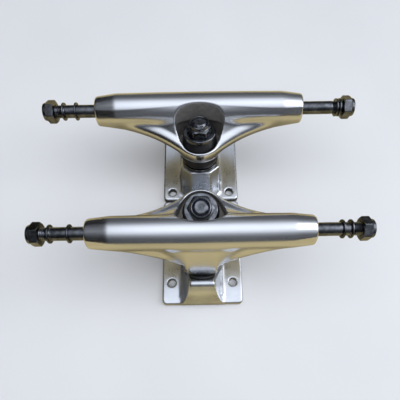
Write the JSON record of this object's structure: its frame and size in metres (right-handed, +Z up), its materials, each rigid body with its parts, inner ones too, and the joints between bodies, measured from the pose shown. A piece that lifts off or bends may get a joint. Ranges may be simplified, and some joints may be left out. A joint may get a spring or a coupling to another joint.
{
  "type": "skateboard truck set",
  "caption": "Pair of kingpin skateboard trucks, sprung hangers on urethane bushings over cast baseplates, laid end to end on their deck faces.",
  "frame": {"origin": "on the deck face plane, at the middle of the seam between the two baseplates", "axes": "+X along the axles, +Y along the board from the rear truck to the front truck, +Z up from the deck faces to the axles"},
  "size_m": [0.197, 0.1508, 0.062],
  "materials": {
    "cast_plate": "tumbled and lightly polished casting",
    "polished_hanger": "polished casting with fine brushing along the axle",
    "black_steel": "black oxide, semi-gloss",
    "black_urethane": "smooth cast urethane",
    "cup_rubber": "moulded rubber",
    "nylon": "dark blue nylon"
  },
  "bodies": {
    "front_base": {"front_baseplate": "cast_plate", "front_pivot_cup": "cup_rubber", "front_kingpin": "black_steel", "front_lower_cup_washer": "black_steel", "front_lower_bushing": "black_urethane", "front_upper_bushing": "black_urethane", "front_upper_cup_washer": "black_steel"},
    "front_hanger": {"front_hanger": "polished_hanger", "front_axle": "black_steel"},
    "front_kingpin_nut": {"front_kingpin_nut": "black_steel", "front_kingpin_nut_insert": "nylon"},
    "front_axle_nut_left": {"front_axle_nut_left": "black_steel", "front_axle_nut_insert_left": "nylon"},
    "front_speed_ring_inner_left": {"front_speed_ring_inner_left": "black_steel"},
    "front_speed_ring_outer_left": {"front_speed_ring_outer_left": "black_steel"},
    "front_axle_nut_right": {"front_axle_nut_right": "black_steel", "front_axle_nut_insert_right": "nylon"},
    "front_speed_ring_inner_right": {"front_speed_ring_inner_right": "black_steel"},
    "front_speed_ring_outer_right": {"front_speed_ring_outer_right": "black_steel"},
    "rear_base": {"rear_baseplate": "cast_plate", "rear_pivot_cup": "cup_rubber", "rear_kingpin": "black_steel", "rear_lower_cup_washer": "black_steel", "rear_lower_bushing": "black_urethane", "rear_upper_bushing": "black_urethane", "rear_upper_cup_washer": "black_steel"},
    "rear_hanger": {"rear_hanger": "polished_hanger", "rear_axle": "black_steel"},
    "rear_kingpin_nut": {"rear_kingpin_nut": "black_steel", "rear_kingpin_nut_insert": "nylon"},
    "rear_axle_nut_left": {"rear_axle_nut_left": "black_steel", "rear_axle_nut_insert_left": "nylon"},
    "rear_speed_ring_inner_left": {"rear_speed_ring_inner_left": "black_steel"},
    "rear_speed_ring_outer_left": {"rear_speed_ring_outer_left": "black_steel"},
    "rear_axle_nut_right": {"rear_axle_nut_right": "black_steel", "rear_axle_nut_insert_right": "nylon"},
    "rear_speed_ring_inner_right": {"rear_speed_ring_inner_right": "black_steel"},
    "rear_speed_ring_outer_right": {"rear_speed_ring_outer_right": "black_steel"}
  },
  "joints": [
    {"name": "front_steer", "type": "hinge", "parent": "front_base", "child": "front_hanger", "pos_m": [0, 0.02416, 0.03799], "axis": [0, 0.8526, -0.5226], "range_deg": [-15, 15], "stiffness_Nm_per_rad": 40, "deforming": ["front_upper_bushing", "front_lower_bushing"]},
    {"name": "front_kingpin_nut_turn", "type": "hinge", "parent": "front_base", "child": "front_kingpin_nut", "pos_m": [0, 0.0288, 0.0576], "axis": [0, 0.23, 0.9732], "range_deg": [-180, 180]},
    {"name": "front_axle_nut_left_turn", "type": "hinge", "parent": "front_hanger", "child": "front_axle_nut_left", "pos_m": [-0.0946, 0.0416, 0.0523], "axis": [-1, 0, 0], "range_deg": [-180, 180]},
    {"name": "front_speed_ring_inner_left_slide", "type": "slide", "parent": "front_hanger", "child": "front_speed_ring_inner_left", "axis": [-1, 0, 0], "range_m": [-0.0124, 0.00335]},
    {"name": "front_speed_ring_outer_left_slide", "type": "slide", "parent": "front_hanger", "child": "front_speed_ring_outer_left", "axis": [-1, 0, 0], "range_m": [-0.00335, 0.0044]},
    {"name": "front_axle_nut_right_turn", "type": "hinge", "parent": "front_hanger", "child": "front_axle_nut_right", "pos_m": [0.0946, 0.0416, 0.0523], "axis": [1, 0, 0], "range_deg": [-180, 180]},
    {"name": "front_speed_ring_inner_right_slide", "type": "slide", "parent": "front_hanger", "child": "front_speed_ring_inner_right", "axis": [1, 0, 0], "range_m": [-0.0217, 0.0004]},
    {"name": "front_speed_ring_outer_right_slide", "type": "slide", "parent": "front_hanger", "child": "front_speed_ring_outer_right", "axis": [1, 0, 0], "range_m": [-0.0004, 0.001]},
    {"name": "rear_steer", "type": "hinge", "parent": "rear_base", "child": "rear_hanger", "pos_m": [0, -0.02416, 0.03799], "axis": [0, -0.8526, -0.5226], "range_deg": [-15, 15], "stiffness_Nm_per_rad": 40, "deforming": ["rear_upper_bushing", "rear_lower_bushing"]},
    {"name": "rear_kingpin_nut_turn", "type": "hinge", "parent": "rear_base", "child": "rear_kingpin_nut", "pos_m": [0, -0.0288, 0.0576], "axis": [0, -0.23, 0.9732], "range_deg": [-180, 180]},
    {"name": "rear_axle_nut_left_turn", "type": "hinge", "parent": "rear_hanger", "child": "rear_axle_nut_left", "pos_m": [-0.0946, -0.0416, 0.0523], "axis": [-1, 0, 0], "range_deg": [-180, 180]},
    {"name": "rear_speed_ring_inner_left_slide", "type": "slide", "parent": "rear_hanger", "child": "rear_speed_ring_inner_left", "axis": [-1, 0, 0], "range_m": [-0.0094, 0.005]},
    {"name": "rear_speed_ring_outer_left_slide", "type": "slide", "parent": "rear_hanger", "child": "rear_speed_ring_outer_left", "axis": [-1, 0, 0], "range_m": [-0.005, 0.0041]},
    {"name": "rear_axle_nut_right_turn", "type": "hinge", "parent": "rear_hanger", "child": "rear_axle_nut_right", "pos_m": [0.0946, -0.0416, 0.0523], "axis": [1, 0, 0], "range_deg": [-180, 180]},
    {"name": "rear_speed_ring_inner_right_slide", "type": "slide", "parent": "rear_hanger", "child": "rear_speed_ring_inner_right", "axis": [1, 0, 0], "range_m": [-0.0151, 0.0018]},
    {"name": "rear_speed_ring_outer_right_slide", "type": "slide", "parent": "rear_hanger", "child": "rear_speed_ring_outer_right", "axis": [1, 0, 0], "range_m": [-0.0018, 0.0048]},
    {"name": "rear_truck_slide", "type": "slide", "parent": "front_base", "child": "rear_base", "axis": [0, -1, 0], "range_m": [0, 0.35]}
  ]
}
